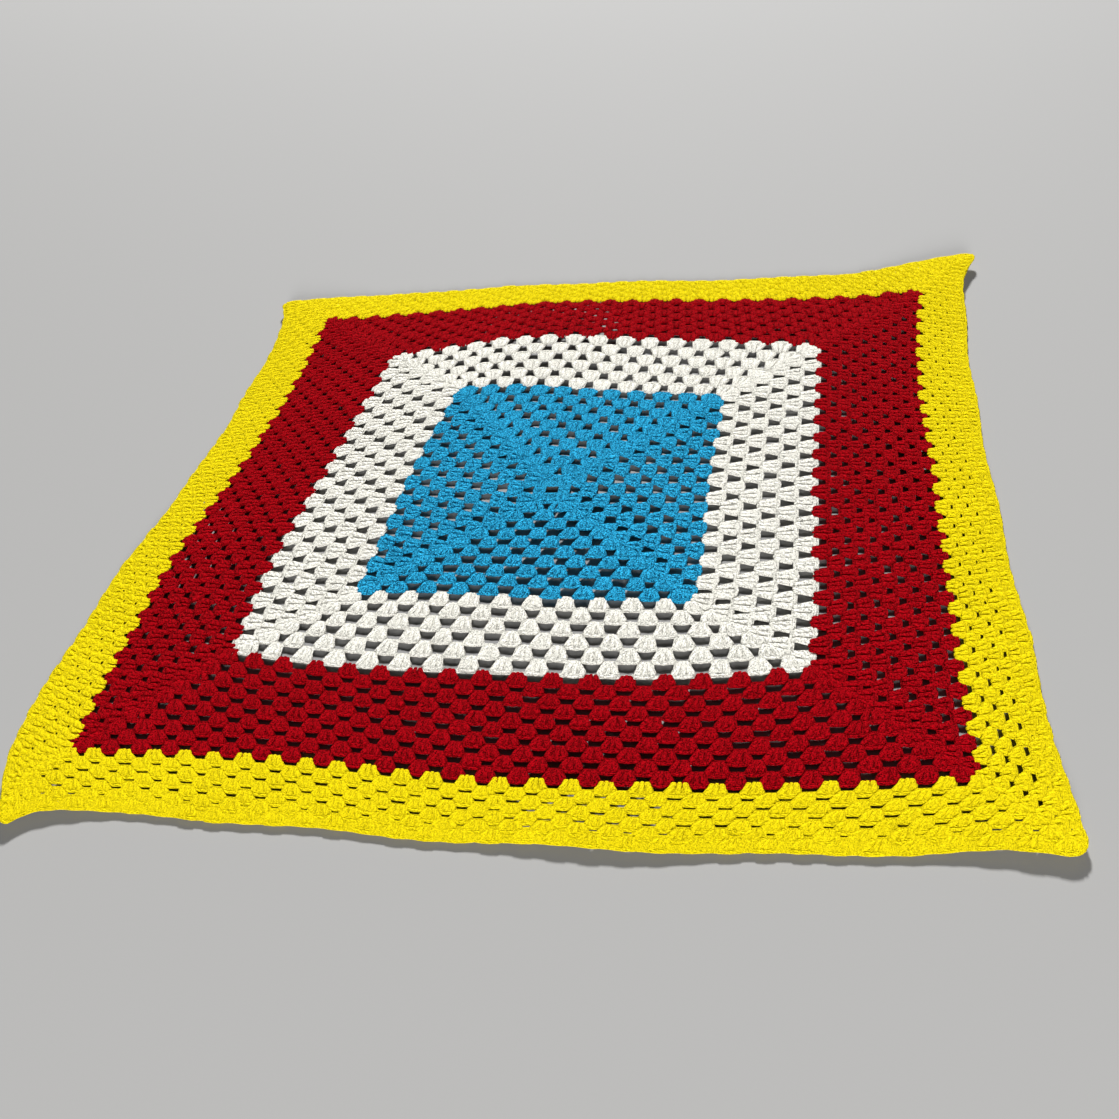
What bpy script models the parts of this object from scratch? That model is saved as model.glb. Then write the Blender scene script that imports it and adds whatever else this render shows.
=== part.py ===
"""A granny square blanket, crocheted in rounds of four colours and laid flat on a surface.

Metres, +Z up. The origin is on the surface that the blanket lies on, under the middle of its
outline, and the side nearest the viewer runs along -Y.

The cloth is drawn first in a pattern plane whose unit is one round of crochet: round k is the
square frame between k - 1 and k from the centre, so the whole pattern is a square of half side
ROUNDS. There the openings between the clusters lie on a regular lattice. place() then puts every
point of the pattern where the pulled and stretched cloth really has it. The cloth is one open
surface, its underside, and Solidify gives it the thickness of the yarn.
"""

import bpy
import numpy as np
from mathutils import Vector
from mathutils.geometry import delaunay_2d_cdt

MM = 0.001

# Driving dimensions.
THICKNESS = 4 * MM
ROUNDS = 34
PITCH = 2.0                      # rounds from one cluster to the next along a side

# The bands of colour: name, last round, colour as linear RGB.
BANDS = (
    ("blue", 11, (0.010, 0.330, 0.660)),
    ("white", 17, (0.830, 0.790, 0.700)),
    ("red", 27, (0.390, 0.004, 0.012)),
    ("yellow", 34, (0.950, 0.760, 0.003)),
)
YARN_ROUGHNESS = 0.85

# Where the corners of five rounds lie, in mm from a point near the middle of the cloth. Round 0 is
# the ring that the work starts from.
#   round  front_left    front_right   back_right    back_left
CORNERS = (
    (0,    (-18, -19),   (-3, -19),    (-3, 7),      (-18, 7)),
    (11,   (-182, -164), (150, -176),  (157, 157),   (-156, 191)),
    (17,   (-282, -243), (255, -256),  (258, 252),   (-259, 268)),
    (27,   (-386, -366), (377, -366),  (373, 355),   (-371, 358)),
    (34,   (-436, -425), (436, -424),  (418, 418),   (-422, 408)),
)

# How far the sides of those rounds bow outwards, in mm: bow in the middle of the side, and skew
# at the first quarter (and as much inwards at the third), going anticlockwise.
#   round  front      right      back       left      each (bow, skew)
BOWS = (
    (0,    (0, 0),    (0, 0),    (0, 0),    (0, 0)),
    (11,   (2, -2),   (-2, 1),   (2, -4),   (4, -1)),
    (17,   (21, -1),  (-3, 1),   (26, -9),  (13, -3)),
    (27,   (12, -6),  (-10, 3),  (12, -7),  (4, -9)),
    (34,   (14, 0),   (-13, 3),  (0, -8),   (2, -7)),
)

# The corners of the last rounds are drawn out to ears or rounded off: how far the tip moves.
#   corner          x    y    mm
EARS = (
    ("front_left",  28,  -20),
    ("front_right", 4,   -8),
    ("back_right",  17,  5),
    ("back_left",   -16, -11),
)
EAR_REACH = 3.2                  # rounds over which an ear fades out
TIP_ROUNDING = 1.3               # radius of the outline's corners, in rounds
RIPPLE = 1.5 * MM                # waves of the outer edge, in the plane of the cloth
RIPPLE_WAVES = 5                 # along each side
RIPPLE_ROUNDS = 7                # rounds over which they fade out inwards

# Where the cloth rises off the surface in a low soft swell: all in mm.
#   x     y      radius  height
SWELLS = (
    (432,  428,  150,    9),
    (-440, 398,  150,    8),
    (-425, -425, 130,    6),
    (430,  -425, 120,    5),
    (-70,  290,  130,    5),
    (90,   -385, 120,    4),
    (-395, -90,  120,    4),
    (385,  40,   110,    4),
    (30,   -75,  110,    3),
)

# The openings between clusters, in rounds: a trapezoid, wide on the side of the centre, which
# starts under the lips of the round before. The widest are cut, in every second round.
OPEN_ROUNDS = (3, 5, 7, 9, 11, 13, 15, 17)
OPEN_INNER_HALF = 0.50
OPEN_OUTER_HALF = 0.27
OPEN_FROM = -0.28
OPEN_TO = 0.28

# Lines of points that let the uncut rounds bend.
BEND_ROUNDS = (19.0, 21.0, 23.0, 25.0, 29.0, 30.8, 32.5)
BEND_STEP = 3.1                  # rounds between the points of such a line
EDGE_POINTS = 24                 # points along each side of the outer edge and the colour changes

QUARTER_TURN = np.array(((0, 1), (-1, 0)))     # turns a row of points anticlockwise
TINY = 1e-5


def corner_table(rounds, table, column):
    """Read one column of a table at the given rounds, straight between its rows."""
    rows = [row[0] for row in table]
    first = np.interp(rounds, rows, [row[1 + column][0] for row in table])
    second = np.interp(rounds, rows, [row[1 + column][1] for row in table])
    return np.stack([first, second], axis=-1) * MM


def place(pattern):
    """Put pattern points, an array of x and y in rounds, where the cloth has them in metres."""
    x, y = pattern[:, 0], pattern[:, 1]
    rounds = np.maximum(np.abs(x), np.abs(y))
    placed = np.tile(np.mean(CORNERS[0][1:], axis=0) * MM, (len(pattern), 1))
    # Each side runs anticlockwise: which points are its own, and their way along it.
    sides = (
        ((y < 0) & (-y >= np.abs(x)), x),
        ((x > 0) & (x > np.abs(y)), y),
        ((y > 0) & (y >= np.abs(x)), -x),
        ((x < 0) & (-x > np.abs(y)), -y),
    )
    for side, (own, along) in enumerate(sides):
        ring = rounds[own]
        share = (1 + along[own] / np.maximum(ring, TINY)) / 2
        start = corner_table(ring, CORNERS, side)
        run = corner_table(ring, CORNERS, (side + 1) % 4) - start
        length = np.linalg.norm(run, axis=1, keepdims=True)
        outwards = np.stack([run[:, 1], -run[:, 0]], axis=1) / length
        bow = corner_table(ring, BOWS, side)
        wave = np.sin(2 * np.pi * RIPPLE_WAVES * share)
        rim = np.clip(1 - (ROUNDS - ring) / RIPPLE_ROUNDS, 0, 1)
        offset = bow[:, 0] * np.sin(np.pi * share) + bow[:, 1] * np.sin(2 * np.pi * share)
        offset += RIPPLE * rim * wave
        placed[own] = start + run * share[:, None] + outwards * offset[:, None]
    corners = np.array(((-1, -1), (1, -1), (1, 1), (-1, 1))) * ROUNDS
    for corner, (_, tip_x, tip_y) in zip(corners, EARS):
        away = np.linalg.norm(pattern - corner, axis=1) / EAR_REACH
        placed += np.exp(-away ** 2)[:, None] * np.array((tip_x, tip_y)) * MM
    return placed


def swell(points):
    """Height of the underside over the surface: each swell is a soft hill with a flat foot."""
    height = np.zeros(len(points))
    for x, y, radius, top in SWELLS:
        away = np.linalg.norm(points - np.array((x, y)) * MM, axis=1) / (radius * MM)
        height += top * MM * np.clip(1 - away ** 2, 0, None) ** 2
    return height


def all_sides(front):
    """Points of the front side and their three quarter turns, side by side."""
    return np.concatenate([front @ np.linalg.matrix_power(QUARTER_TURN, turn) for turn in range(4)])


def square_line(ring, per_side):
    """Points on the square frame of half side ring, per_side to a side, anticlockwise."""
    along = np.linspace(-ring, ring, per_side, endpoint=False)
    return all_sides(np.stack([along, np.full(per_side, -float(ring))], axis=1))


def outer_line():
    """Points on the outline: a square frame whose corners are arcs of radius TIP_ROUNDING."""
    flat_half = ROUNDS - TIP_ROUNDING
    along = np.linspace(-flat_half, flat_half, EDGE_POINTS)
    edge = np.stack([along, np.full(EDGE_POINTS, -float(ROUNDS))], axis=1)
    angles = np.radians((-67.5, -45, -22.5))
    arc = np.stack([np.cos(angles), np.sin(angles)], axis=1) * TIP_ROUNDING
    return all_sides(np.concatenate([edge, arc + (flat_half, -flat_half)]))


def opening_corners():
    """The four corners of every opening, as an array of openings x corners x (x, y)."""
    outlines = []
    for ring in OPEN_ROUNDS:
        inner, outer = ring - 1 + OPEN_FROM, ring - 1 + OPEN_TO
        for gap in range(1, ring):
            middle = PITCH * gap - ring
            front = np.array((
                (middle - OPEN_OUTER_HALF, -outer), (middle + OPEN_OUTER_HALF, -outer),
                (middle + OPEN_INNER_HALF, -inner), (middle - OPEN_INNER_HALF, -inner)))
            outlines.append(all_sides(front).reshape(4, 4, 2))
    return np.concatenate(outlines)


def closed_loop(first, count):
    """Edges that join count points, numbered from first, into a loop."""
    return [(first + i, first + (i + 1) % count) for i in range(count)]


def net_faces():
    """Points of the pattern and the triangles between them, with the openings left out."""
    points, edges = [], []

    def add(new_points, joined=True):
        if joined:
            edges.extend(closed_loop(len(points), len(new_points)))
        points.extend(map(tuple, new_points))

    for _, last_round, _ in BANDS[:-1]:
        add(square_line(last_round, EDGE_POINTS))
    add(outer_line())
    for ring in BEND_ROUNDS:
        add(square_line(ring, max(4, round(2 * ring / BEND_STEP))), joined=False)
    openings = opening_corners()
    for outline in openings:
        add(outline)
    add([(0.0, 0.0)], joined=False)

    flat = [Vector(point) for point in points]
    inside_only = 1
    coords, _, triangles, _, _, _ = delaunay_2d_cdt(flat, edges, [], inside_only, TINY)
    coords = np.array([tuple(co) for co in coords])
    triangles = np.array([tuple(face) for face in triangles])

    # A triangle is part of an opening if its middle lies left of all four sides of the nearest one.
    middles = coords[triangles].mean(axis=1)
    from_centres = middles[:, None] - openings.mean(axis=1)[None]
    nearest = openings[np.argmin(np.linalg.norm(from_centres, axis=2), axis=1)]
    hollow = np.ones(len(triangles), dtype=bool)
    for corner in range(4):
        run = nearest[:, (corner + 1) % 4] - nearest[:, corner]
        to_middle = middles - nearest[:, corner]
        hollow &= run[:, 0] * to_middle[:, 1] > run[:, 1] * to_middle[:, 0]
    return coords, triangles[~hollow]


def yarn_material(name, colour):
    """A plain matt material in one yarn's colour."""
    material = bpy.data.materials.new(name)
    material.use_nodes = True
    shader = material.node_tree.nodes["Principled BSDF"]
    shader.inputs["Base Color"].default_value = (*colour, 1.0)
    shader.inputs["Roughness"].default_value = YARN_ROUGHNESS
    shader.inputs["Metallic"].default_value = 0.0
    return material


def make_blanket(collection):
    """The cloth: its underside as a net of triangles, thickened upwards."""
    pattern, triangles = net_faces()
    points = place(pattern)
    points -= (points.max(axis=0) + points.min(axis=0)) / 2
    corners = np.column_stack([points, swell(points)])

    mesh = bpy.data.meshes.new("blanket")
    mesh.from_pydata(corners.tolist(), [], triangles.tolist())
    middles = pattern[triangles].mean(axis=1)
    rounds = np.abs(middles).max(axis=1)
    band = np.searchsorted([last_round for _, last_round, _ in BANDS], rounds)
    for name, _, colour in BANDS:
        mesh.materials.append(yarn_material(name, colour))
    mesh.polygons.foreach_set("material_index", band.astype(np.int32))
    mesh.update()

    blanket = bpy.data.objects.new("blanket", mesh)
    collection.objects.link(blanket)
    thicken = blanket.modifiers.new("thickness", "SOLIDIFY")
    thicken.thickness = THICKNESS
    thicken.offset = 1.0
    return blanket


def main():
    for leftover in list(bpy.data.objects):
        bpy.data.objects.remove(leftover)
    collection = bpy.data.collections.new("granny_square_blanket")
    bpy.context.scene.collection.children.link(collection)
    make_blanket(collection)


main()
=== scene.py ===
"""A granny square blanket, crocheted in four colours and laid flat: its look in Blender.

The blanket is drawn in a pattern plane whose unit is one round of crochet. Round k lies about k from
the middle, and each of its four sides holds k clusters of three stitches, one cluster every two
units. place() carries pattern points to where the pulled and stretched cloth has them, in metres, in
the same frame as the CAD solid. Every strand of yarn is a tube along a path through that cloth.
"""

import bpy
import numpy as np
from bpy.props import (EnumProperty, FloatProperty, FloatVectorProperty, IntProperty,
                       PointerProperty)
from mathutils import Matrix, Vector


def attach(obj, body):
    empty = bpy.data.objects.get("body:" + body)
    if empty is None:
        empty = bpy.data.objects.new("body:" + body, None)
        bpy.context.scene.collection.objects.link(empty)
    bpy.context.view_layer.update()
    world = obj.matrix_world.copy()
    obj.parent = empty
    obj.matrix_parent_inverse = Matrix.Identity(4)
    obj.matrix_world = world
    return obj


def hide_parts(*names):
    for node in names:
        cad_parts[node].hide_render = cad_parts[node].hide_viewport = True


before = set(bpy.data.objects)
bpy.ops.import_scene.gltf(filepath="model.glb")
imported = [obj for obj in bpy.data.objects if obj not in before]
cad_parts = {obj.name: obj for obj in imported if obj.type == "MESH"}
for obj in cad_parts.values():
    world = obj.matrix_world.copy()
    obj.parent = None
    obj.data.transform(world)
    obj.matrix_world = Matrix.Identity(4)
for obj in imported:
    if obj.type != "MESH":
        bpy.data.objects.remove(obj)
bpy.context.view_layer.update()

bl_info = {
    "name": "Granny Square Blanket",
    "version": (1, 0, 0),
    "blender": (4, 5, 0),
    "location": "View3D > Sidebar > Blanket",
    "description": "Crochets a granny square blanket stitch by stitch and lays it on a floor",
    "category": "Add Mesh",
}

MM = 0.001
TINY = 1e-5                      # in rounds, or in metres
NO_AREA = 1e-12                  # square metres that a real face is larger than
NET_DIGITS = 5                   # decimals, in rounds, to which points of the net are one point

# ---------------------------------------------------------------------------------------------
# The pattern and where the cloth has it: the same named values as the CAD solid, but for PULL.
# ---------------------------------------------------------------------------------------------
ROUNDS = 34
PITCH = 2.0                      # rounds from one cluster to the next along a side

#   round  front_left    front_right   back_right    back_left        (x, y) in mm
CORNERS = (
    (0,    (-18, -19),   (-3, -19),    (-3, 7),      (-18, 7)),
    (11,   (-182, -164), (150, -176),  (157, 157),   (-156, 191)),
    (17,   (-282, -243), (255, -256),  (258, 252),   (-259, 268)),
    (27,   (-386, -366), (377, -366),  (373, 355),   (-371, 358)),
    (34,   (-436, -425), (436, -424),  (418, 418),   (-422, 408)),
)
#   round  front      right      back       left      each (bow, skew) outwards in mm
BOWS = (
    (0,    (0, 0),    (0, 0),    (0, 0),    (0, 0)),
    (11,   (2, -2),   (-2, 1),   (2, -4),   (4, -1)),
    (17,   (21, -1),  (-3, 1),   (26, -9),  (13, -3)),
    (27,   (12, -6),  (-10, 3),  (12, -7),  (4, -9)),
    (34,   (14, 0),   (-13, 3),  (0, -8),   (2, -7)),
)
# How much further out than those smooth sides the handwork really lies, in mm.
#   round  front        right        back         left         each (even, skew, wave)
PULL = (
    (0,    (0, 0, 0),   (0, 0, 0),   (0, 0, 0),   (0, 0, 0)),
    (11,   (-4, 0, 0),  (1, 0, 1),   (4, 1, 0),   (1, 2, -1)),
    (17,   (-2, 0, 3),  (3, 0, 0),   (2, 5, 0),   (-6, 0, 2)),
    (27,   (1, -2, -3), (-1, 0, -2), (0, 1, -3),  (-1, 0, 0)),
    (34,   (-1, -5, -1), (0, -1, 0), (-1, -1, -3), (0, -2, 3)),
)
#   corner          x    y    mm that its tip is drawn out
EARS = (
    ("front_left",  28,  -20),
    ("front_right", 4,   -8),
    ("back_right",  17,  5),
    ("back_left",   -16, -11),
)
EAR_REACH = 3.2                  # rounds over which an ear fades out
TIP_ROUNDING = 1.3               # radius of the outline's corners, in rounds
RIPPLE = 1.5 * MM                # waves of the outer edge, in the plane of the cloth
RIPPLE_WAVES = 5                 # along each side
RIPPLE_ROUNDS = 7                # rounds over which they fade out inwards
MIDDLE = (-1.2 * MM, -11.0 * MM)  # middle of the placed cloth's box, which is the CAD's origin

#   x     y      radius  height    mm: where the cloth rises off the floor in a soft swell
SWELLS = (
    (432,  428,  150,    9),
    (-440, 398,  150,    8),
    (-425, -425, 130,    6),
    (430,  -425, 120,    5),
    (-70,  290,  130,    5),
    (90,   -385, 120,    4),
    (-395, -90,  120,    4),
    (385,  40,   110,    4),
    (30,   -75,  110,    3),
)

# The pieces of crochet.
#    name                 first and last round, yarn
PIECES = (
    ("blue_rounds",         1,  11, "blue"),
    ("white_rounds",        12, 17, "white"),
    ("red_rounds_inner",    18, 21, "red"),
    ("red_rounds_middle",   22, 24, "red"),
    ("red_rounds_outer",    25, 27, "red"),
    ("yellow_rounds_inner", 28, 31, "yellow"),
    ("yellow_rounds_outer", 32, 34, "yellow"),
)
NAMES = [name for name, *_ in PIECES]
COLOUR_CHANGES = (11, 17, 27)    # last rounds of the blue, the white and the red yarn

# ---------------------------------------------------------------------------------------------
# One cluster, seen from the front side: across is the way along the side, and out the way from the
# middle of the blanket less the number of the round, both in rounds. High is in mm.
# ---------------------------------------------------------------------------------------------
# Read between these rounds: how far the outer stitches lie from the middle one at the neck and at the
# foot, how late they spread, as a power of the share of their length, where the neck's tip and the
# chain of loops lie, how far the chain's two strands are from its middle, and half their length.
#   round  neck   foot   late  tip     chain   apart  lip
CLUSTER = (
    (1,    0.14,  0.46,  1.3,  -1.44,  -0.34,  0.055, 0.62),
    (17,   0.15,  0.49,  1.3,  -1.44,  -0.34,  0.055, 0.64),
    (18,   0.20,  0.48,  1.3,  -1.52,  -0.32,  0.080, 0.62),
    (27,   0.20,  0.49,  1.3,  -1.54,  -0.32,  0.080, 0.63),
    (28,   0.25,  0.52,  1.5,  -1.66,  -0.34,  0.120, 0.62),
    (32,   0.26,  0.55,  1.5,  -1.66,  -0.34,  0.120, 0.66),
    (33,   0.28,  0.60,  1.3,  -1.64,  -0.34,  0.120, 0.72),
    (34,   0.28,  0.60,  1.3,  -1.60,  -0.30,  0.120, 0.76),
)
COLUMNS = ("neck", "foot", "late", "tip", "chain", "apart", "lip")
# Along a stitch, by the share of its length from the tip of the neck to the foot: how far it has
# spread, its width, its height in mm, and how many rounds further out the outer ones lie.
#   share  spread  size   high   further
STITCH = (
    (0.00, 0.00,   0.00,  2.9,   0.07),
    (0.02, 0.02,   0.60,  3.2,   0.06),
    (0.10, 0.12,   0.80,  3.7,   0.05),
    (0.36, 0.50,   0.90,  3.7,   0.02),
    (0.64, 0.84,   1.04,  3.5,   0.00),
    (0.90, 1.00,   1.16,  3.1,   0.00),
    (1.00, 1.00,   0.00,  2.8,   0.00),
)
STITCH_WIDE = (0.62, 0.82)       # half the width of the middle and outer stitches, in yarns
STITCH_AROUND = 6                # points round a stitch, and round the rim
OUTER_DROP = 0.7                 # how many mm lower the outer stitches are at their foot
FLATTEN = 0.50                   # height of a strand's section to its width
SQUARE = 0.64                    # power of its sine and cosine: 1 is an ellipse, less is boxier
CORNER_LEAN = (-0.50, -0.20)     # how far a corner cluster leans to the middle: neck, lip
FIRST_ROUND_SQUEEZE = 0.42       # the first round is shorter: it starts from the ring
# How much fuller the clusters of each side are than the front's: times their width, and added to
# the neck and the foot. This grows evenly from the middle of the blanket to round FULLER_FROM.
#    strands  neck   foot     front, right, back, left
FULLER = (
    (1.00,    0.00,  0.00),
    (1.14,    0.12,  0.00),
    (1.16,    0.11,  0.02),
    (1.16,    0.13,  0.02),
)
FULLER_FROM = 14
# The right side's gaps are pulled open towards the near right corner: over how many rounds that
# fades along the side, between which rounds it sets in, how much wider the gaps get there, and how
# much of their side's fullness the clusters lose. Over 1 they get slimmer than the front's.
PULLED_ALONG = 11.0
PULLED_FROM, PULLED_TO = 25.0, 30.0
PULLED_WIDER = 0.85
PULLED_SLIMMER = 1.6

# The chain on a cluster, from one end (-1) to the other (1), and the width of its strands there.
LIP_WAY = (-1.0, -0.9, -0.68, -0.34, 0.0, 0.34, 0.68, 0.9, 1.0)
LIP_SIZE = (0.0, 0.82, 1.0, 1.0, 1.0, 1.0, 1.0, 0.82, 0.0)
#   outwards  lobes  long   high  rise     its two strands: at the ends in mm, and added between
LIP_STRANDS = (
    (1,       1.0,   1.0,   2.3,  1.3),
    (-1,      -0.5,  1.1,   2.4,  1.0),
)
LIP_WIDE = 0.42                  # half the width of a strand, in yarns
LIP_BEND = 0.17                  # how far it bends back at its ends, in rounds
LIP_LOBES = 0.018                # how far its three loops stand out, in rounds
LIP_AROUND = 5                   # points round a strand

RIM_RING = 33.74                 # where the strand along the edge lies, in rounds
RIM_HIGH = 3.0 * MM
RIM_WIDE = 0.48                  # half its width, in yarns
RIM_SCALLOP = 0.05               # how far the rim is drawn in between the clusters, in rounds
RIM_STEPS = 4                    # points of it to a cluster
RIM_OVERLAP = 0.01               # how far each end passes the middle of the side, in half sides

# The accidents of the handwork, as standard deviations: of clusters, then of their strands.
SLIP_ACROSS, SLIP_OUT = 0.05, 0.04            # in rounds
WIDE_VARIES = 0.05                            # a share of their width
LIFT_VARIES = 0.15 * MM
STITCH_SLIP, STITCH_LIFT, STITCH_VARIES = 0.015, 0.12 * MM, 0.04
LIP_SLIP, LIP_LIFT = 0.012, 0.10 * MM
RIM_SLIP, RIM_VARIES = 0.01, 0.03

# ---------------------------------------------------------------------------------------------
# The core, which is the cloth between the strands
# ---------------------------------------------------------------------------------------------
CORE_HIGH = 3.5 * MM             # its height over the cloth's underside
CORE_FILL = 0.5 * MM             # how much higher it is in the last band, whose stitches lie closer
CORE_INSET = 0.12                # how far it stays inside the outline, in rounds
COLOUR_LEAD = 0.12               # how many rounds early its colour changes, under the next clusters
CORE_STRANDS = 120.0             # plies are drawn on it as if this many strands lay to a metre
# Its openings, in rounds from the round before: where they start and end, and half their width at
# both.
#   round  from    to     front         right         back          left         each (start, end)
HOLES = (
    (2,    -0.20,  0.60,  (0.52, 0.42), (0.44, 0.36), (0.38, 0.30), (0.40, 0.32)),
    (8,    -0.20,  0.58,  (0.54, 0.42), (0.42, 0.32), (0.36, 0.28), (0.38, 0.28)),
    (11,   -0.20,  0.60,  (0.54, 0.42), (0.41, 0.31), (0.36, 0.28), (0.39, 0.28)),
    (12,   -0.19,  0.55,  (0.50, 0.42), (0.38, 0.30), (0.36, 0.26), (0.37, 0.26)),
    (13,   -0.19,  0.55,  (0.54, 0.42), (0.44, 0.34), (0.40, 0.28), (0.40, 0.28)),
    (17,   -0.19,  0.55,  (0.54, 0.42), (0.44, 0.34), (0.40, 0.28), (0.40, 0.28)),
    (18,   -0.14,  0.40,  (0.48, 0.40), (0.38, 0.34), (0.28, 0.22), (0.36, 0.30)),
    (19,   -0.16,  0.42,  (0.56, 0.42), (0.40, 0.36), (0.26, 0.22), (0.36, 0.30)),
    (27,   -0.16,  0.38,  (0.54, 0.40), (0.38, 0.34), (0.22, 0.18), (0.35, 0.28)),
    (28,   -0.14,  0.24,  (0.46, 0.40), (0.26, 0.20), (0.12, 0.10), (0.18, 0.12)),
    (32,   -0.14,  0.20,  (0.48, 0.40), (0.22, 0.18), (0.06, 0.06), (0.10, 0.08)),
    (33,   -0.10,  0.10,  (0.26, 0.22), (0.02, 0.02), (0.02, 0.02), (0.02, 0.02)),
    (34,   -0.02,  0.02,  (0.02, 0.02), (0.02, 0.02), (0.02, 0.02), (0.02, 0.02)),
)
RING_HOLE = (6.5 * MM, 5.0 * MM)  # half the width and depth of the opening in the middle of all
CELL_START = -0.27               # where the net's cells start, in rounds from the round before

# ---------------------------------------------------------------------------------------------
# Yarn
# ---------------------------------------------------------------------------------------------
# How strongly each gets creases, with painted shade and relief, how strongly its fibres are speckled
# with painted highlights and painted shade in their pits, how far the painted highlights are lifted,
# and how strongly its relief shows.
#          shaded_creases  highlight_and_pit_weight  highlight_lift  relief
YARNS = {
    "blue":   (1.0,  1.40,  1.36,  0.8),
    "white":  (1.0,  0.55,  1.00,  0.8),
    "red":    (0.7,  1.10,  1.18,  0.8),
    "yellow": (0.30, 0.50,  1.00,  0.6),
}
PLIES = 7
PLY_LAY = 45 * MM                # length over which a ply winds once round the strand
#               scale  detail  roughness     noises in the cloth's own metres
DRIFT_NOISE = (9.0,    3.0,    0.6)
FIBRE_NOISE = (800.0,  2.0,    0.7)
FOLD_NOISE = (230.0,   1.0,    0.5)
FIBRE_LOW, FIBRE_GAIN = 0.39, 4.8   # the fibres' usual lowest value, and how much they are stretched
FIBRE_MEAN = 0.53                # their mean after that
CREASE_GAIN = 17.0               # how narrow the creases are
# The dark end of the colour stands for painted shade in ply grooves, creases and fibre pits, and for
# darker dye; the light end for painted fibre highlights and lighter dye.
DEEP_POWER, DEEP_SHARE = 1.3, 0.28   # the colour between the fibres: a power and a share of the yarn's
LIGHT_SHARE = 1.06               # the colour of the fibres, to the yarn's
# What makes the yarn lighter: a constant, less for a higher lift of the painted fibre highlights and
# more where the creases' painted shade is weaker, then the plies' painted shade, the slow drift of the
# dye and the fullness between the creases, which are darkened as painted shade.
LIGHTNESS, LESS_FOR_HIGHLIGHT_LIFT, LIFT_FOR_LESS_CREASE_SHADE = 0.29, 0.7, 0.285
PLY_SHADE, DRIFT_TINT, CREASE_SHADE = 0.22, 0.22, 0.38
PLY_RELIEF, FIBRE_RELIEF, CREASE_RELIEF = 0.7, 1.3, 0.9
RELIEF_DEPTH = 1.1 * MM
YARN_ROUGHNESS = 0.9
YARN_SPECULAR = 0.01
YARN_SHEEN, YARN_SHEEN_ROUGHNESS = 0.01, 0.5
SHEEN_COLOUR, SHEEN_WHITE = 0.7, 0.3    # the sheen's colour: a share of the yarn's, and of white

# ---------------------------------------------------------------------------------------------
# The stage, in metres
# ---------------------------------------------------------------------------------------------
FLOOR_HALF = 6.0
FLOOR_ROUGHNESS = 0.9
#    name    at                  size  watts     square lamps that face the origin
LAMPS = (
    ("key",  (-0.5, 13.4, 8.7),  1.8,  5550),
    ("fill", (0.6, -5.0, 1.40),  1.4,  430),
)
WORLD_COLOUR = (0.9, 0.93, 1.0)
WORLD_STRENGTH = 0.03
CAMERA_AT = (0.270, -0.970, 0.767)
CAMERA_TO = (0.0157, -0.1025, 0.004)
CAMERA_ROLL = -11.10             # degrees
CAMERA_FOCAL_PX = 1249.5         # in the photograph's pixels
PHOTO_PX = 1119
SENSOR_MM = 36.0


def corner_table(rounds, table, column):
    """Read one column of a table at the given rounds, straight between its rows, in metres."""
    rows = [row[0] for row in table]
    values = zip(*(row[1 + column] for row in table))
    return np.stack([np.interp(rounds, rows, value) for value in values], axis=-1) * MM


def round_tips(pattern):
    """Round the corners of the outermost rounds: in the last TIP_ROUNDING of both ways, the square
    frames become quarter circles, each point keeping its direction from the arc's centre."""
    start = ROUNDS - TIP_ROUNDING
    past = np.abs(pattern) - start
    inside = (past > 0).all(axis=1)
    shrink = past.max(axis=1) / np.maximum(np.linalg.norm(past, axis=1), TINY)
    rounded = np.sign(pattern) * (start + past * shrink[:, None])
    return np.where(inside[:, None], rounded, pattern)


def place(pattern):
    """Put pattern points, an array of x and y in rounds, where the cloth has them in metres.

    Each point is on a square frame. The frame's corners come from CORNERS, the point keeps its share
    of the side between two of them, and the side bows outwards by a half and a whole sine wave. PULL
    adds an even shift that fades at the corners, and a whole and one and a half more waves. Near the
    edge there are RIPPLE_WAVES small waves too, and the EARS pull the tips of the corners out."""
    pattern = round_tips(pattern)
    x, y = pattern[:, 0], pattern[:, 1]
    rounds = np.maximum(np.abs(x), np.abs(y))
    placed = np.tile(np.mean(CORNERS[0][1:], axis=0) * MM, (len(pattern), 1))
    # Each side runs anticlockwise: which points are its own, and their way along it.
    sides = (
        ((y < 0) & (-y >= np.abs(x)), x),
        ((x > 0) & (x > np.abs(y)), y),
        ((y > 0) & (y >= np.abs(x)), -x),
        ((x < 0) & (-x > np.abs(y)), -y),
    )
    for side, (own, along) in enumerate(sides):
        ring = rounds[own]
        share = (1 + along[own] / np.maximum(ring, TINY)) / 2
        start = corner_table(ring, CORNERS, side)
        run = corner_table(ring, CORNERS, (side + 1) % 4) - start
        length = np.linalg.norm(run, axis=1, keepdims=True)
        outwards = np.stack([run[:, 1], -run[:, 0]], axis=1) / length
        bow, pull = corner_table(ring, BOWS, side), corner_table(ring, PULL, side)
        wave = np.sin(2 * np.pi * RIPPLE_WAVES * share)
        rim = np.clip(1 - (ROUNDS - ring) / RIPPLE_ROUNDS, 0, 1)
        offset = bow[:, 0] * np.sin(np.pi * share) + bow[:, 1] * np.sin(2 * np.pi * share)
        offset += RIPPLE * rim * wave + pull[:, 0] * (1 - np.abs(2 * share - 1) ** 6)
        offset += pull[:, 1] * np.sin(2 * np.pi * share) + pull[:, 2] * np.sin(3 * np.pi * share)
        placed[own] = start + run * share[:, None] + outwards * offset[:, None]
    corners = np.array(((-1, -1), (1, -1), (1, 1), (-1, 1))) * ROUNDS
    for corner, (_, tip_x, tip_y) in zip(corners, EARS):
        away = np.linalg.norm(pattern - corner, axis=1) / EAR_REACH
        placed += np.exp(-away ** 2)[:, None] * np.array((tip_x, tip_y)) * MM
    return placed - MIDDLE


def swell(points):
    """Height of the underside over the floor: each swell is a soft hill with a flat foot."""
    height = np.zeros(len(points))
    for x, y, radius, top in SWELLS:
        away = np.linalg.norm(points - np.array((x, y)) * MM, axis=1) / (radius * MM)
        height += top * MM * np.clip(1 - away ** 2, 0, None) ** 2
    return height


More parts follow.
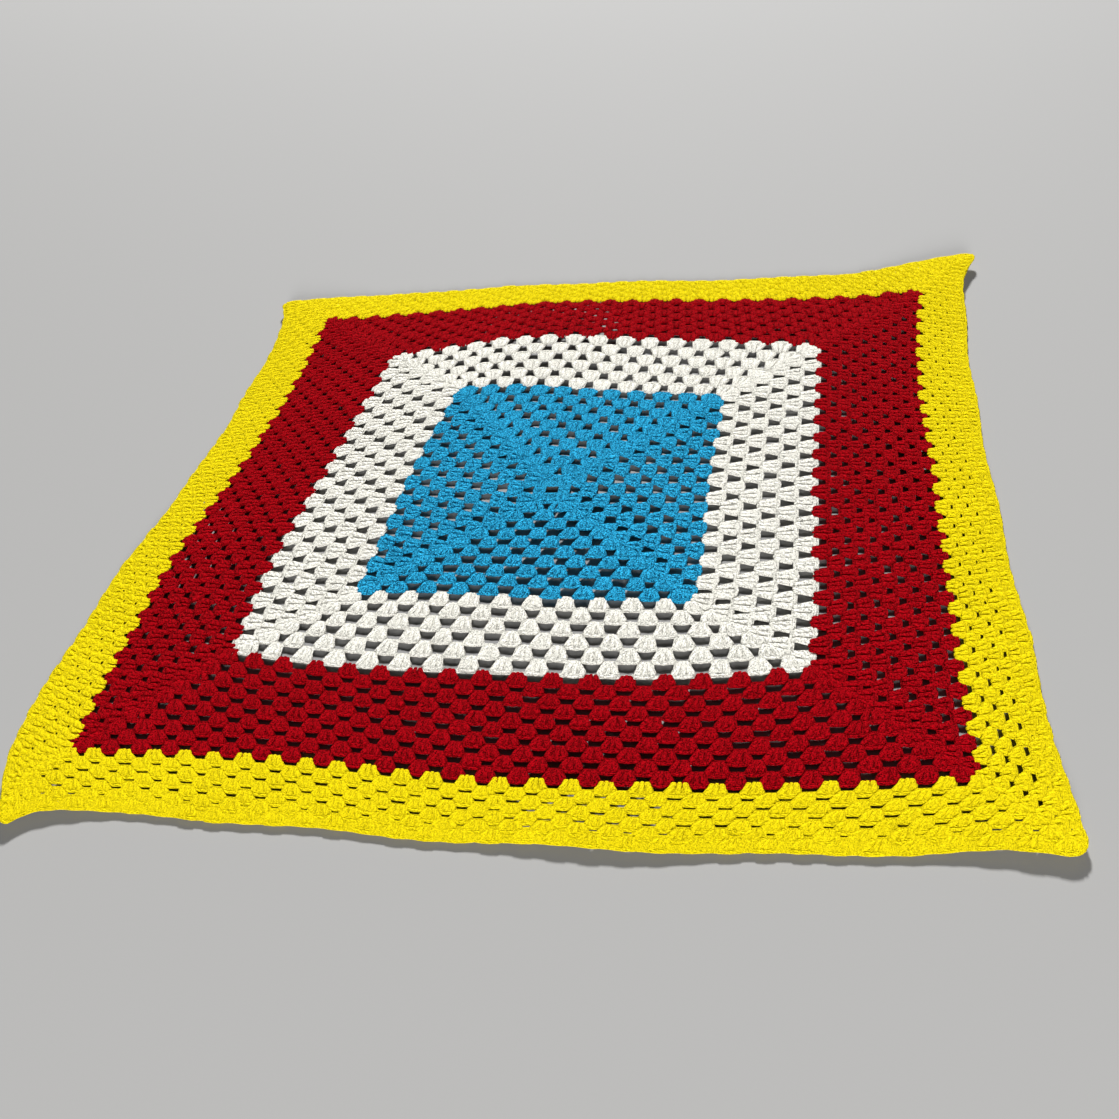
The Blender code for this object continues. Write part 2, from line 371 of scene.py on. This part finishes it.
def turned(across, out, side):
    """Pattern points of any side: the front side's points (across, -out) after as many quarter turns
    as the side's number. Whole arrays, with x and y last."""
    angle = side * np.pi / 2
    x = across * np.cos(angle) + out * np.sin(angle)
    y = across * np.sin(angle) - out * np.cos(angle)
    return np.stack([x, y], axis=-1)


def lay(across, out, high, side):
    """Lay points of the front side, given as whole arrays of one shape, on their side of the cloth.

    They are turned, placed, and lifted by the swell. high is in metres. Gives an array of the same
    shape with x, y and z last."""
    flat = place(turned(across, out, side).reshape(-1, 2))
    laid = np.column_stack([flat, swell(flat) + high.ravel()])
    return laid.reshape(*across.shape, 3)


# ---------------------------------------------------------------------------------------------
# Tubes
# ---------------------------------------------------------------------------------------------
def unit(vectors):
    """Vectors of length one, along the last axis."""
    return vectors / np.maximum(np.linalg.norm(vectors, axis=-1, keepdims=True), TINY)


def strands(paths, radii, around):
    """Many tubes at once. paths is strands x points x (x, y, z), and radii is strands x points.

    Each inner point of a path carries a ring of `around` points: the path's point plus its radius
    times (cos a across the path + FLATTEN sin a upwards), with cos a and sin a both to the power
    SQUARE. The first and last points are closed tips. Gives vertices, triangles at the tips, quads
    between rings, and UVs for both: once round the strand, and metres along it."""
    count, points, _ = paths.shape
    inner = points - 2
    way = unit(np.gradient(paths, axis=1))
    across = unit(np.cross((0.0, 0.0, 1.0), way))
    upwards = np.cross(way, across)
    angle = 2 * np.pi * np.arange(around) / around
    sideways, up = (np.sign(wave) * np.abs(wave) ** SQUARE for wave in (np.cos(angle), np.sin(angle)))
    ring = (across[:, 1:-1, None] * sideways[:, None]
            + upwards[:, 1:-1, None] * FLATTEN * up[:, None])
    rings = paths[:, 1:-1, None] + radii[:, 1:-1, None, None] * ring
    vertices = np.concatenate([rings.reshape(count, -1, 3), paths[:, :1], paths[:, -1:]], axis=1)

    each = inner * around + 2
    first = (np.arange(count) * each)[:, None, None]
    s = np.arange(around)
    after = (s + 1) % around
    row = np.arange(inner - 1)[:, None] * around
    quads = np.stack([row + s, row + after, row + after + around, row + s + around], axis=-1)
    quads = first[..., None] + quads
    start_tip, end_tip = each - 2, each - 1
    last_row = (inner - 1) * around
    tips = np.stack([
        np.stack([np.full(around, start_tip), after, s], axis=-1),
        np.stack([last_row + s, last_row + after, np.full(around, end_tip)], axis=-1)])
    tips = first[..., None] + tips

    step = np.linalg.norm(np.diff(paths, axis=1), axis=2)
    along = np.concatenate([np.zeros((count, 1)), np.cumsum(step, axis=1)], axis=1)
    near, far = along[:, 1:-2, None], along[:, 2:-1, None]
    left = np.broadcast_to(s / around, (count, inner - 1, around))
    right = left + 1 / around
    near, far = np.broadcast_to(near, left.shape), np.broadcast_to(far, left.shape)
    quad_uv = np.stack([left, near, right, near, right, far, left, far], axis=-1)
    low, high = s / around, (s + 1) / around
    middle = (low + high) / 2
    ones = np.ones((count, around))
    start_uv = np.stack([ones * middle, ones * 0, ones * high, ones * along[:, 1:2],
                         ones * low, ones * along[:, 1:2]], axis=-1)
    end_uv = np.stack([ones * low, ones * along[:, -2:-1], ones * high, ones * along[:, -2:-1],
                       ones * middle, ones * along[:, -1:]], axis=-1)
    tip_uv = np.stack([start_uv, end_uv], axis=1)
    return (vertices.reshape(-1, 3), tips.reshape(-1, 3), quads.reshape(-1, 4),
            tip_uv.reshape(-1, 2), quad_uv.reshape(-1, 2))


def put_in(name, vertices, faces, uvs, materials):
    """Make a mesh object of the cloth, with its corners' UVs and its materials, that rides on root."""
    mesh = bpy.data.meshes.new(name)
    mesh.from_pydata(vertices.tolist(), [], faces)
    layer = mesh.uv_layers.new(name="strand")
    layer.data.foreach_set("uv", uvs.astype(np.float32).ravel())
    for material in materials:
        mesh.materials.append(material)
    piece = bpy.data.objects.new(name, mesh)
    bpy.context.scene.collection.objects.link(piece)
    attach(piece, "root")
    return piece


def mesh_piece(name, parts, material):
    """Join the results of strands() into one smooth mesh object with one material. What would be
    under the floor lies flat on it."""
    vertices, tips, quads, tip_uvs, quad_uvs = zip(*parts)
    first = np.cumsum([0] + [len(each) for each in vertices])
    faces = [triangles + start for triangles, start in zip(tips, first)]
    four_sided = [squares + start for squares, start in zip(quads, first)]
    faces = np.concatenate(faces).tolist() + np.concatenate(four_sided).tolist()
    vertices = np.concatenate(vertices)
    vertices[:, 2] = np.maximum(vertices[:, 2], 0)
    piece = put_in(name, vertices, faces, np.concatenate(tip_uvs + quad_uvs), [material])
    polygons = piece.data.polygons
    polygons.foreach_set("use_smooth", np.ones(len(polygons), dtype=bool))
    piece.data.update()


# ---------------------------------------------------------------------------------------------
# Stitches
# ---------------------------------------------------------------------------------------------
def clusters_of(first, last, chance):
    """Every cluster of rounds first to last, as arrays of one length: round, side, across of its
    middle, whether it is the first or the last of its side, and its small accidents."""
    ring, side, index = [], [], []
    for k in range(first, last + 1):
        turn, number = np.meshgrid(np.arange(4), np.arange(k), indexing="ij")
        ring.append(np.full(turn.size, k))
        side.append(turn.ravel())
        index.append(number.ravel())
    ring, side, index = map(np.concatenate, (ring, side, index))
    return {
        "ring": ring.astype(float),
        "side": side,
        "middle": PITCH * index + 1.0 - ring,
        "first": index == 0,
        "last": index == ring - 1,
        "slip_across": chance.normal(0, SLIP_ACROSS, len(ring)),
        "slip_out": chance.normal(0, SLIP_OUT, len(ring)),
        "wide": chance.normal(1, WIDE_VARIES, len(ring)),
        "lift": chance.normal(0, LIFT_VARIES, len(ring)),
    }


def pulled_open(ring, middle, side):
    """How far a cluster or gap of a round is pulled open, 0 to 1: on the right side, a bell of the
    way from the near right corner, times a ramp over the rounds. 0 on the other sides."""
    along = np.exp(-((ring + middle) / PULLED_ALONG) ** 2)
    outwards = np.clip((ring - PULLED_FROM) / (PULLED_TO - PULLED_FROM), 0, 1)
    return np.where(side == 1, along * outwards, 0.0)


def cluster_value(cluster, name):
    """One column of CLUSTER for every cluster, straight between its rows, as a column of numbers."""
    rows, values = zip(*((row[0], row[1 + COLUMNS.index(name)]) for row in CLUSTER))
    return np.interp(cluster["ring"], rows, values)[:, None]


def lay_cluster(cluster, across, out, high):
    """Lay local points of clusters, arrays of clusters x points, on the cloth.

    Across counts from the cluster's middle and out from its round. A cluster at a corner leans to the
    middle of its side, more so at the neck, and the first round is squeezed to a shorter length."""
    tip, chain = cluster_value(cluster, "tip"), cluster_value(cluster, "chain")
    share = np.clip((out - tip) / (chain - tip), 0, 1)
    neck, lip = CORNER_LEAN
    way = cluster["last"].astype(float) - cluster["first"].astype(float)
    lean = way[:, None] * (neck + (lip - neck) * share)
    squeeze = np.where(cluster["ring"] == 1, FIRST_ROUND_SQUEEZE, 1.0)[:, None]
    local = chain + (out - chain) * squeeze
    reach = cluster["ring"][:, None] + local + cluster["slip_out"][:, None]
    place_across = cluster["middle"][:, None] + cluster["slip_across"][:, None] + lean + across
    return lay(place_across, reach, high + cluster["lift"][:, None], cluster["side"][:, None])


def fullness(cluster):
    """Three columns of FULLER for every cluster: its side's, by the share that its round reaches, and
    less where it is pulled open."""
    front = np.array(FULLER[0])
    reached = np.minimum(cluster["ring"] / FULLER_FROM, 1)
    pulled = pulled_open(cluster["ring"], cluster["middle"], cluster["side"])
    reached = (reached * (1 - PULLED_SLIMMER * pulled))[:, None]
    return (front + (np.array(FULLER)[cluster["side"]] - front) * reached).T[..., None]


def stitches(cluster, yarn, chance):
    """The three stitches of every cluster. Each is one flattened tube along STITCH: round and close to
    its neighbours at the neck, where it comes over the chain of the round before, and fanned out at
    the foot."""
    share, spread, size, high, further = map(np.array, zip(*STITCH))
    neck, foot, late, tip, chain = (cluster_value(cluster, name)
                                    for name in ("neck", "foot", "late", "tip", "chain"))
    spread = np.interp(share ** late, share, spread)
    fuller, more_neck, more_foot = fullness(cluster)
    neck, foot = neck + more_neck, foot + more_foot
    one_each = (len(neck), 1)
    made = []
    for number in (-1, 0, 1):
        outer = abs(number)
        across = number * (neck + (foot - neck) * spread) * cluster["wide"][:, None]
        across = across + chance.normal(0, STITCH_SLIP, one_each) * (1 + 2 * share)
        out = tip + (chain - tip) * share + further * outer
        lift = (high - OUTER_DROP * spread * outer) * MM + chance.normal(0, STITCH_LIFT, one_each)
        varied = 1 + chance.normal(0, STITCH_VARIES, one_each)
        radii = yarn * STITCH_WIDE[outer] * size * fuller * varied
        made.append(strands(lay_cluster(cluster, across, out, lift), radii, STITCH_AROUND))
    return made


def lips(cluster, yarn, chance):
    """The chain on top of every cluster: two strands side by side along the way t from -1 to 1.

    Both end just past the outer stitches, under the next round's clusters. They bend back there by
    LIP_BEND times the way cubed, and keep their height but for their ends, by 1 less t to the eighth.
    The chain's three loops are three waves of a cosine along it."""
    t = np.array(LIP_WAY)
    chain, apart, lip = (cluster_value(cluster, name) for name in ("chain", "apart", "lip"))
    lobes = LIP_LOBES * np.cos(3 * np.pi * t)
    bend = LIP_BEND * np.abs(t) ** 3
    radii = yarn * LIP_WIDE * np.array(LIP_SIZE) * np.ones_like(chain)
    made = []
    for outwards, lobe, long, high, rise in LIP_STRANDS:
        across = long * lip * t * cluster["wide"][:, None]
        out = chain + outwards * apart + lobe * lobes - bend + chance.normal(0, LIP_SLIP, chain.shape)
        lift = (high + rise * (1 - t ** 8)) * MM + chance.normal(0, LIP_LIFT, chain.shape)
        made.append(strands(lay_cluster(cluster, across, out, lift), radii, LIP_AROUND))
    return made


def rim(yarn, chance):
    """The closed edge along the last round: one strand round the whole blanket, on the square frame
    RIM_RING of the pattern. It is drawn in between the clusters by a cosine, and starts and ends in
    the middle of the front side, where its ends pass each other."""
    points = 4 * ROUNDS * RIM_STEPS + 1
    way = np.linspace(-RIM_OVERLAP, 8 + RIM_OVERLAP, points) + 1    # each side is 2 long
    along = way % 2 - 1
    scallop = -RIM_SCALLOP * np.cos(np.pi * (along + 1) * ROUNDS)
    reach = RIM_RING + scallop + chance.normal(0, RIM_SLIP, points)
    frame_points = turned(along, np.ones(points), (way // 2).astype(int) % 4)
    flat = place(frame_points * reach[:, None])
    path = np.column_stack([flat, swell(flat) + RIM_HIGH])
    radii = yarn * RIM_WIDE * (1 + chance.normal(0, RIM_VARIES, (1, points)))
    return strands(path[None], radii, STITCH_AROUND)


# ---------------------------------------------------------------------------------------------
# Materials
# ---------------------------------------------------------------------------------------------
def noise(tree, settings):
    """A noise in Object coordinates, of the scale, detail and roughness in settings. Its value."""
    where = tree.nodes.new("ShaderNodeTexCoord")
    made = tree.nodes.new("ShaderNodeTexNoise")
    tree.links.new(where.outputs["Object"], made.inputs["Vector"])
    for name, value in zip(("Scale", "Detail", "Roughness"), settings):
        made.inputs[name].default_value = value
    return made.outputs[0]


def math_node(tree, operation, first, second=None):
    """The result of one operation on terms that are each a socket or a number."""
    made = tree.nodes.new("ShaderNodeMath")
    made.operation = operation
    for slot, term in enumerate((first, second)):
        if term is None:
            continue
        if isinstance(term, bpy.types.NodeSocket):
            tree.links.new(term, made.inputs[slot])
        else:
            made.inputs[slot].default_value = term
    return made.outputs[0]


def plain_material(name, colour, roughness):
    """An even matt material."""
    material = bpy.data.materials.new(name)
    material.use_nodes = True
    shader = material.node_tree.nodes["Principled BSDF"]
    shader.inputs["Base Color"].default_value = (*colour, 1.0)
    shader.inputs["Roughness"].default_value = roughness
    return material


def yarn_material(name, colour, shaded_creases, highlight_and_pit_weight, highlight_lift, relief):
    """Matt wool-like yarn: plies twisted round the strand, fine fibres, creases between the loops and a
    slow drift of the dye. All but the drift give relief. The colour holds painted shade in ply grooves,
    creases and fibre pits, painted highlights on light fibres, and the dye's own drift."""
    material = plain_material(name, colour, YARN_ROUGHNESS)
    tree = material.node_tree
    shader = tree.nodes["Principled BSDF"]
    link = tree.links.new

    def scaled(term, factor):
        return math_node(tree, "MULTIPLY", term, factor)

    def less(term, other):
        return math_node(tree, "SUBTRACT", term, other)

    def total(first, *others):
        for term in others:
            first = math_node(tree, "ADD", first, term)
        return first

    # Plies: the size of a cosine of half of PLIES times the way round, less the way along. It gives the
    # plies' relief, and painted shade in the grooves between them.
    uv = tree.nodes.new("ShaderNodeUVMap")
    uv.uv_map = "strand"
    split = tree.nodes.new("ShaderNodeSeparateXYZ")
    link(uv.outputs[0], split.inputs[0])
    advance = math_node(tree, "DIVIDE", split.outputs[1], PLY_LAY / PLIES)
    phase = scaled(less(scaled(split.outputs[0], float(PLIES)), advance), 2 * np.pi)
    ply = math_node(tree, "ABSOLUTE", math_node(tree, "COSINE", scaled(phase, 0.5)))

    drift = noise(tree, DRIFT_NOISE)
    fibre = noise(tree, FIBRE_NOISE)
    # Speckle of the fine fibres: painted highlights where the noise is high, and painted shade in the
    # pits where it is low.
    highlight_and_pit_speckle = less(scaled(less(fibre, FIBRE_LOW), FIBRE_GAIN), FIBRE_MEAN)
    # Creases: the narrow places where a coarser noise crosses its middle value. They give relief, and
    # the colour is darkened there as painted shade.
    fold = math_node(tree, "ABSOLUTE", less(noise(tree, FOLD_NOISE), 0.5))
    crease_shade_and_relief = math_node(tree, "MINIMUM", scaled(fold, CREASE_GAIN), 1.0)

    # Lighter where the creases' painted shade is weaker, and darker the more the painted highlights are
    # lifted, so the mean stays.
    base = LIGHTNESS - LESS_FOR_HIGHLIGHT_LIFT * (highlight_lift - 1) + LIFT_FOR_LESS_CREASE_SHADE * (1 - shaded_creases)
    # The colour runs from the dark end, for painted shade and darker dye, to the light end, for painted
    # highlights and lighter dye.
    tint = tree.nodes.new("ShaderNodeMix")
    tint.data_type = "RGBA"
    tint.inputs["A"].default_value = (*(c ** DEEP_POWER * DEEP_SHARE for c in colour), 1.0)
    tint.inputs["B"].default_value = (*(c * LIGHT_SHARE * highlight_lift for c in colour), 1.0)
    link(total(scaled(ply, PLY_SHADE), scaled(highlight_and_pit_speckle, highlight_and_pit_weight), base,
               scaled(drift, DRIFT_TINT), scaled(crease_shade_and_relief, CREASE_SHADE * shaded_creases)),
         tint.inputs["Factor"])
    link(tint.outputs["Result"], shader.inputs["Base Color"])

    bump = tree.nodes.new("ShaderNodeBump")
    bump.inputs["Strength"].default_value = relief
    bump.inputs["Distance"].default_value = RELIEF_DEPTH
    link(total(scaled(ply, PLY_RELIEF), scaled(fibre, FIBRE_RELIEF),
               scaled(crease_shade_and_relief, CREASE_RELIEF * shaded_creases)),
         bump.inputs["Height"])
    link(bump.outputs[0], shader.inputs["Normal"])

    sheen = (min(1.0, c * SHEEN_COLOUR + SHEEN_WHITE) for c in colour)
    shader.inputs["Specular IOR Level"].default_value = YARN_SPECULAR
    shader.inputs["Sheen Weight"].default_value = YARN_SHEEN
    shader.inputs["Sheen Roughness"].default_value = YARN_SHEEN_ROUGHNESS
    shader.inputs["Sheen Tint"].default_value = (*sheen, 1.0)
    return material


def yarn_of(name):
    """The yarn's material, made once, in the colour that the settings give it."""
    key = f"yarn_{name}"
    colour = tuple(getattr(bpy.context.scene.blanket, name))
    return bpy.data.materials.get(key) or yarn_material(key, colour, *YARNS[name])


# ---------------------------------------------------------------------------------------------
# The core sheet, with every opening in it
# ---------------------------------------------------------------------------------------------
def core_cells(side):
    """One side's net as cells, one round each opening of every round from the second on.

    The cell of opening g of round k is one round deep from k - 1 + CELL_START and reaches one unit
    to both sides, cut off at the corners' diagonals. Six points lie round it, and the four
    corners of the opening in it. Gives how far these are across and out, both cells x 10, and the
    triangles of one cell."""
    ring = np.concatenate([np.full(k - 1, k) for k in range(2, ROUNDS + 1)]).astype(float)
    number = np.concatenate([np.arange(1, k) for k in range(2, ROUNDS + 1)]).astype(float)
    middle = PITCH * number - ring
    inner = ring - 1 + CELL_START
    outer = inner + 1
    left, right = np.maximum(middle - 1, -inner), np.minimum(middle + 1, inner)
    far_left = np.where(number == 1, -outer, np.maximum(middle - 1, -outer))
    far_right = np.where(number == ring - 1, outer, np.minimum(middle + 1, outer))

    rounds, *columns = zip(*((k, first, last, *sides[side]) for k, first, last, *sides in HOLES))
    first, last, wide, narrow = (np.interp(ring, rounds, column) for column in columns)
    wider = 1 + PULLED_WIDER * pulled_open(ring, middle, side)
    wide, narrow, last = wide * wider, narrow * wider, last * wider
    hole_in, hole_out = ring - 1 + first, ring - 1 + last
    across = np.stack([left, middle, right, far_right, middle, far_left,
                       middle - wide, middle + wide, middle + narrow, middle - narrow], axis=1)
    out = np.stack([inner, inner, inner, outer, outer, outer,
                    hole_in, hole_in, hole_out, hole_out], axis=1)
    # Out of the middle is down in the front side, so these run anticlockwise seen from above.
    triangles = np.array((
        (0, 6, 1), (1, 6, 7), (1, 7, 2), (2, 7, 8), (2, 8, 3),
        (3, 8, 4), (4, 8, 9), (4, 9, 5), (5, 9, 6), (5, 6, 0)))
    return across, out, triangles


def split_quads(near, after, far_after, far):
    """Two triangles for each quad, given as four arrays of point numbers."""
    return np.concatenate([np.stack([near, after, far_after], axis=1),
                           np.stack([near, far_after, far], axis=1)])


def core_net():
    """Pattern points of the whole core and the triangles between them, welded where cells meet."""
    flat, faces = [], []
    count = 0

    def add(points, triangles):
        nonlocal count
        flat.append(points)
        faces.append(triangles + count)
        count += len(points)

    for side in range(4):
        across, out, triangles = core_cells(side)
        cells, corners = across.shape
        each = (np.arange(cells) * corners)[:, None, None] + triangles
        add(turned(across, out, side).reshape(-1, 2), each.reshape(-1, 3))

    # In the middle, between the first cells and the ring.
    square = np.array(((-1, -1), (0, -1), (1, -1), (1, 0), (1, 1), (0, 1), (-1, 1), (-1, 0)))
    here = np.arange(8)
    after = (here + 1) % 8
    add(np.concatenate([square * (1 + CELL_START), square * TINY]),
        split_quads(here, after, after + 8, here + 8))

    # The rim, outside the last cells.
    rim_in, rim_out = ROUNDS + CELL_START, ROUNDS - CORE_INSET
    stops = np.concatenate([[-rim_in], np.arange(-(ROUNDS - 2), ROUNDS - 1.0), [rim_in]])
    here = np.arange(len(stops) - 1)
    beyond = here + len(stops)
    for side in range(4):
        near = turned(stops, np.full(len(stops), rim_in), side)
        far = turned(stops * rim_out / rim_in, np.full(len(stops), rim_out), side)
        add(np.concatenate([near, far]), split_quads(here, beyond, beyond + 1, here + 1))

    rounded = np.round(np.concatenate(flat), NET_DIGITS)
    points, index = np.unique(rounded, axis=0, return_inverse=True)
    return points, index.ravel()[np.concatenate(faces)]


def make_core():
    """The core sheet: the net placed CORE_HIGH over the cloth's underside, with the opening in the
    middle of all set to its own size, facing up, and coloured by the yarn of each round."""
    flat, faces = core_net()
    rounds = np.abs(flat).max(axis=1)
    placed = place(flat)
    ring = rounds < 2 * TINY
    placed[ring] = placed[ring].mean(axis=0) + np.sign(flat[ring]) * RING_HOLE
    fill = CORE_FILL * np.clip(rounds - COLOUR_CHANGES[-1], 0, 1)
    vertices = np.column_stack([placed, swell(placed) + CORE_HIGH + fill])
    corners = vertices[faces]
    upwards = np.cross(corners[:, 1] - corners[:, 0], corners[:, 2] - corners[:, 0])[:, 2]
    real = np.abs(upwards) > NO_AREA
    faces, upwards = faces[real], upwards[real]
    faces = np.where((upwards < 0)[:, None], faces[:, ::-1], faces)
    core = put_in("blanket_core", vertices, faces.tolist(),
                  placed[faces.ravel()] * (CORE_STRANDS, 1.0), [yarn_of(name) for name in YARNS])
    face_rounds = np.abs(flat[faces].mean(axis=1)).max(axis=1)
    band = np.searchsorted(COLOUR_CHANGES, face_rounds + COLOUR_LEAD)
    core.data.polygons.foreach_set("material_index", band.astype(np.int32))
    core.data.update()
    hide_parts("blanket")
    return core


# ---------------------------------------------------------------------------------------------
# Settings, operators and panel
# ---------------------------------------------------------------------------------------------
def colour_property(name, value):
    """A colour as linear RGB."""
    return FloatVectorProperty(name=name, description=f"Colour of the {name.lower()}", subtype="COLOR",
                               size=3, min=0.0, max=1.0, default=value)


class BlanketSettings(bpy.types.PropertyGroup):
    """Sizes and colours of the blanket."""
    yarn: FloatProperty(name="Yarn", description="Thickness of the yarn", default=3.9 * MM,
                        min=1 * MM, max=8 * MM, subtype="DISTANCE", unit="LENGTH")
    seed: IntProperty(name="Seed", description="Chooses the small accidents of the handwork",
                      default=7, min=0)
    blue: colour_property("Blue yarn", (0.022, 0.305, 0.525))
    white: colour_property("White yarn", (0.840, 0.820, 0.740))
    red: colour_property("Red yarn", (0.292, 0.0011, 0.0045))
    yellow: colour_property("Yellow yarn", (0.700, 0.565, 0.004))
    floor: colour_property("Floor", (0.28, 0.277, 0.272))


class BLANKET_OT_rounds(bpy.types.Operator):
    """Crochet one band of rounds"""
    bl_idname = "blanket.rounds"
    bl_label = "Crochet Rounds"

    piece: EnumProperty(name="Rounds", description="Which rounds to crochet",
                        items=[(name, name, "") for name in NAMES])

    def execute(self, context):
        settings = context.scene.blanket
        number = NAMES.index(self.piece)
        name, first, last, yarn = PIECES[number]
        chance = np.random.default_rng(settings.seed + number)
        cluster = clusters_of(first, last, chance)
        parts = stitches(cluster, settings.yarn, chance) + lips(cluster, settings.yarn, chance)
        if last == ROUNDS:
            parts.append(rim(settings.yarn, chance))
        mesh_piece(name, parts, yarn_of(yarn))
        return {"FINISHED"}


class BLANKET_OT_core(bpy.types.Operator):
    bl_idname = "blanket.core"
    bl_label = "Make Core"

    def execute(self, context):
        core = make_core()
        # The area is the rectangle's less its openings, about a fifth.
        return {"FINISHED"}


class BLANKET_OT_stage(bpy.types.Operator):
    """Lay a floor and set the lights and the camera"""
    bl_idname = "blanket.stage"
    bl_label = "Set Stage"

    def execute(self, context):
        scene = context.scene
        mesh = bpy.data.meshes.new("floor")
        half = FLOOR_HALF
        corners = [(-half, -half, 0), (half, -half, 0), (half, half, 0), (-half, half, 0)]
        mesh.from_pydata(corners, [], [(0, 1, 2, 3)])
        mesh.materials.append(plain_material("floor", tuple(scene.blanket.floor), FLOOR_ROUGHNESS))
        floor = bpy.data.objects.new("floor", mesh)
        scene.collection.objects.link(floor)

        for name, at, size, watts in LAMPS:
            light = bpy.data.lights.new(name, "AREA")
            light.energy = watts
            light.size = size
            lamp = bpy.data.objects.new(name, light)
            lamp.location = at
            lamp.rotation_euler = (-Vector(at)).to_track_quat("-Z", "Y").to_euler()
            scene.collection.objects.link(lamp)

        world = bpy.data.worlds.new("studio")
        world.use_nodes = True
        background = world.node_tree.nodes["Background"]
        background.inputs["Color"].default_value = (*WORLD_COLOUR, 1.0)
        background.inputs["Strength"].default_value = WORLD_STRENGTH
        scene.world = world
        scene.view_settings.view_transform = "Standard"

        # The camera looks from CAMERA_AT to CAMERA_TO, level, and is then rolled about that line.
        forward = (Vector(CAMERA_TO) - Vector(CAMERA_AT)).normalized()
        level = forward.cross(Vector((0, 0, 1))).normalized()
        roll = np.radians(CAMERA_ROLL)
        right = level * np.cos(roll) + level.cross(forward) * np.sin(roll)
        axes = Matrix((right, right.cross(forward), -forward)).transposed()
        data = bpy.data.cameras.new("camera")
        data.sensor_width = SENSOR_MM
        data.lens = CAMERA_FOCAL_PX / PHOTO_PX * SENSOR_MM
        camera = bpy.data.objects.new("camera", data)
        camera.matrix_world = Matrix.Translation(CAMERA_AT) @ axes.to_4x4()
        scene.collection.objects.link(camera)
        scene.camera = camera
        return {"FINISHED"}


class BLANKET_PT_panel(bpy.types.Panel):
    """Sizes, colours and steps of the blanket"""
    bl_idname = "BLANKET_PT_panel"
    bl_label = "Granny Square Blanket"
    bl_space_type = "VIEW_3D"
    bl_region_type = "UI"
    bl_category = "Blanket"

    def draw(self, context):
        column = self.layout.column()
        for name in BlanketSettings.__annotations__:
            column.prop(context.scene.blanket, name)
        for name in NAMES:
            column.operator("blanket.rounds", text=name.replace("_", " ")).piece = name
        column.operator("blanket.core")
        column.operator("blanket.stage")


CLASSES = (BlanketSettings, BLANKET_OT_rounds, BLANKET_OT_core, BLANKET_OT_stage, BLANKET_PT_panel)


def register():
    """Make the settings, operators and panel known."""
    for cls in CLASSES:
        bpy.utils.register_class(cls)
    bpy.types.Scene.blanket = PointerProperty(type=BlanketSettings)


def unregister():
    """Take them away again."""
    del bpy.types.Scene.blanket
    for cls in reversed(CLASSES):
        bpy.utils.unregister_class(cls)


def main():
    """Make the whole blanket and its stage."""
    register()
    for name in NAMES:
        bpy.ops.blanket.rounds(piece=name)
    bpy.ops.blanket.core()
    bpy.ops.blanket.stage()


if __name__ == "__main__":
    main()
